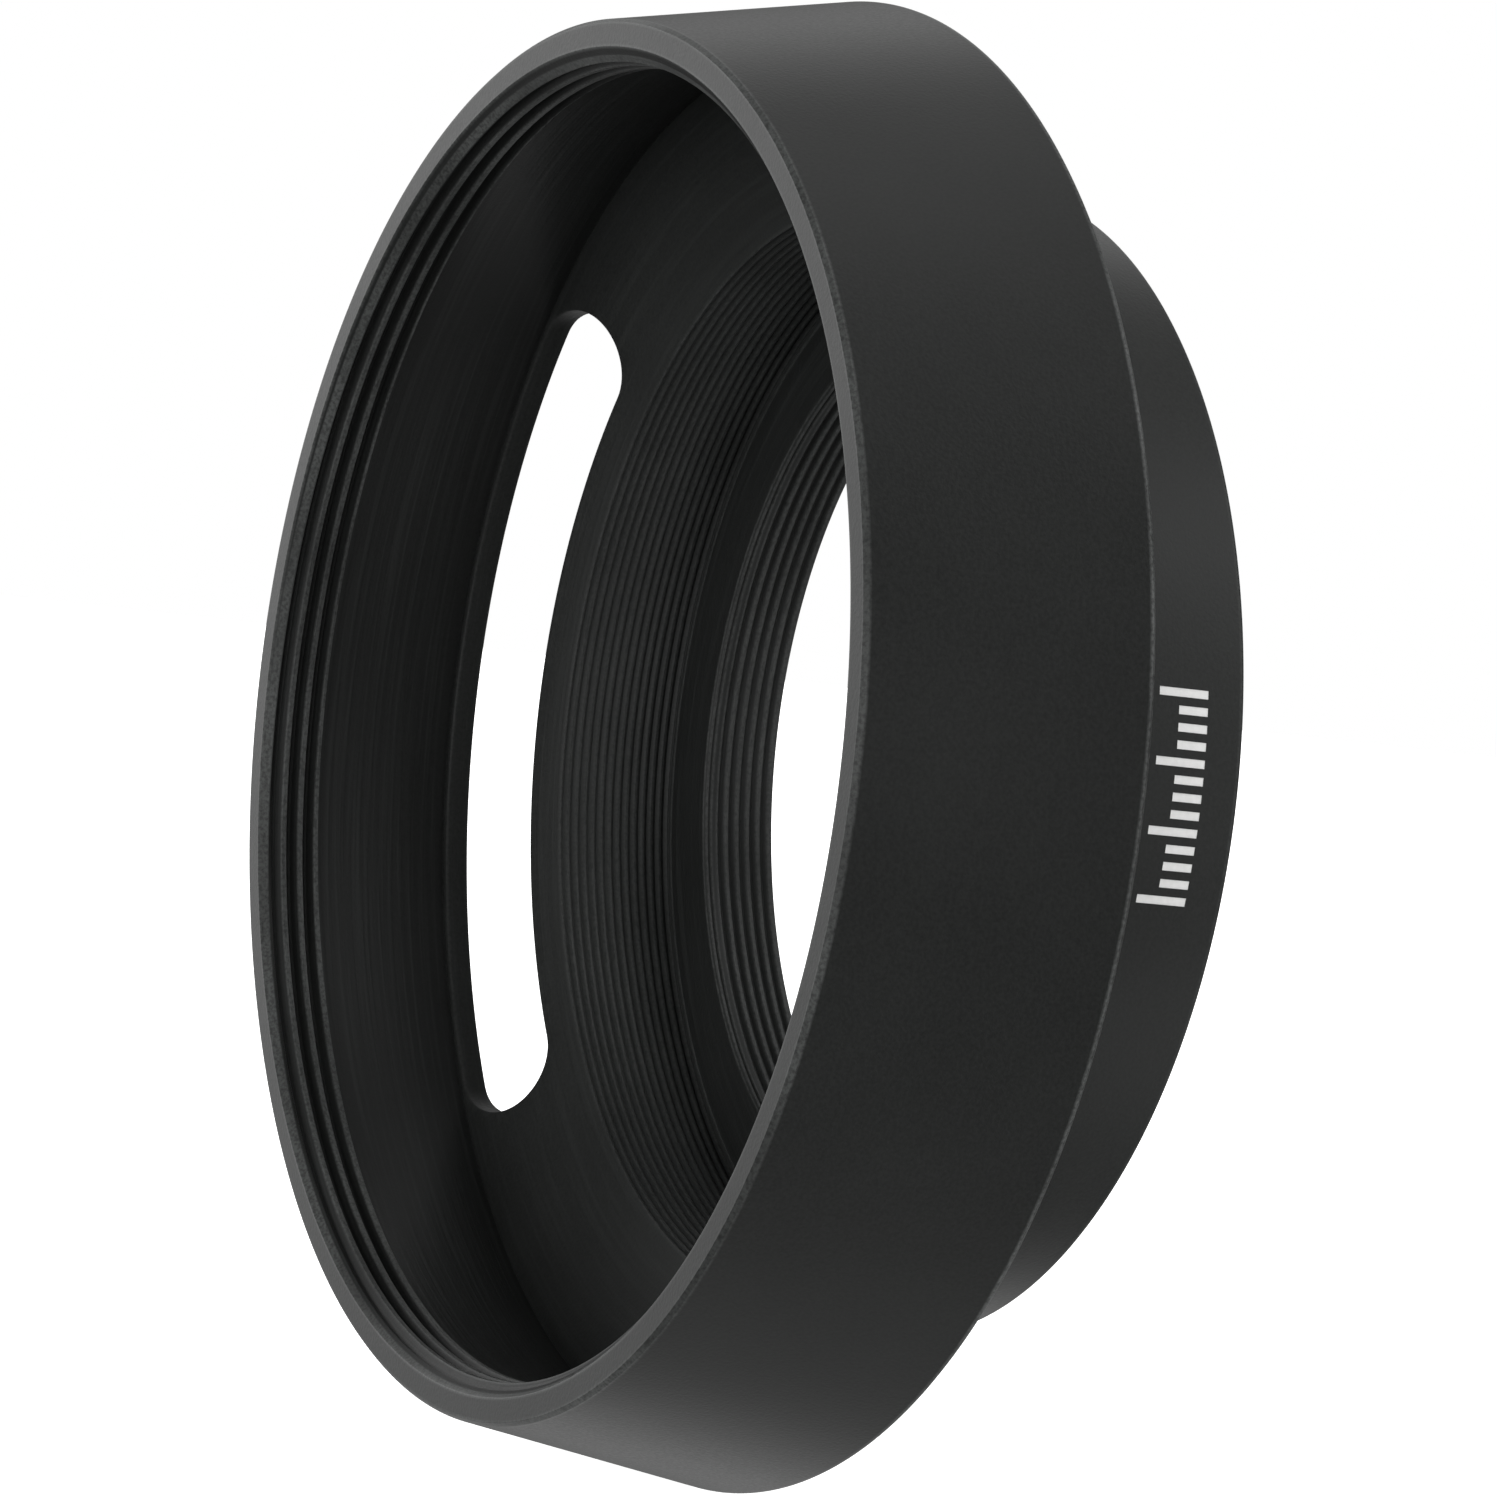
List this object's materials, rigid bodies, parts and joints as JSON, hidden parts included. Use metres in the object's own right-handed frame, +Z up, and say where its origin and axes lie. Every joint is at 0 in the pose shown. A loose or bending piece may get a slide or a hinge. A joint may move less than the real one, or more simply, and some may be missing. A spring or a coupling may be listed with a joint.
{
  "type": "vented lens hood",
  "caption": "Vented screw-in metal lens hood with a flared barrel, ribbed light-trap collar and threaded mount ring that shades a camera lens.",
  "frame": {"origin": "centre of the seat plane, the collar's rear face, where the hood stops against the lens, on the lens thread's axis", "axes": "+Y along the optical axis towards the lens, so the open front faces -Y; +Z up; +X through the engraved index scale, half way between two vents"},
  "size_m": [0.059, 0.0205, 0.059],
  "materials": {
    "barrel_anodising": "satin black anodised, fine turned grain",
    "collar_anodising": "satin black anodised, fine turned grain",
    "ring_anodising": "satin black anodised, bright-cut thread crests",
    "white_fill": "matte white engraving paint"
  },
  "bodies": {
    "root": {"front_barrel": "barrel_anodising", "vented_collar": "collar_anodising", "mount_ring": "ring_anodising", "index_fill": "white_fill"}
  },
  "joints": []
}
